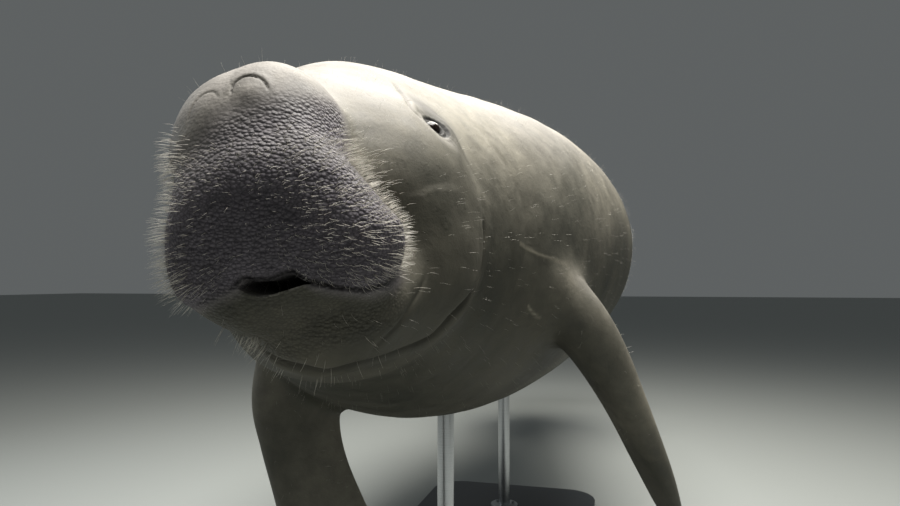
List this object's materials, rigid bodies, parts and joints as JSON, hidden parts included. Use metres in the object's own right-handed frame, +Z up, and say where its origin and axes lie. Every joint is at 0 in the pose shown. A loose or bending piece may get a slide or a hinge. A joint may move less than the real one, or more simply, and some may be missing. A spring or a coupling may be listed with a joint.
{
  "type": "manatee",
  "caption": "Life-size Florida manatee, still and rolled slightly to its right, snout forward, flippers hanging, held by rods on a flat display base.",
  "frame": {"origin": "centre of the stand base's underside, on the floor", "axes": "+Z up, -Y the way the animal faces, +X its left side"},
  "size_m": [0.8342, 2.913, 1.0944],
  "materials": {
    "skin": "wrinkled grey-brown skin, slightly moist",
    "eye": "dark and glossy",
    "nail": "worn horn",
    "stand_base": "satin dark grey lacquer",
    "stand_rod": "brushed"
  },
  "bodies": {
    "root": {"muzzle": "skin", "lower_jaw": "skin", "head": "skin", "neck": "skin", "chest": "skin", "belly": "skin", "tail_stock": "skin", "tail_paddle": "skin", "left_flipper": "skin", "right_flipper": "skin", "left_eye": "eye", "right_eye": "eye", "left_nail_1": "nail", "left_nail_2": "nail", "left_nail_3": "nail", "right_nail_1": "nail", "right_nail_2": "nail", "right_nail_3": "nail", "stand_base": "stand_base", "stand_rod_front": "stand_rod", "stand_rod_rear": "stand_rod"}
  },
  "joints": []
}
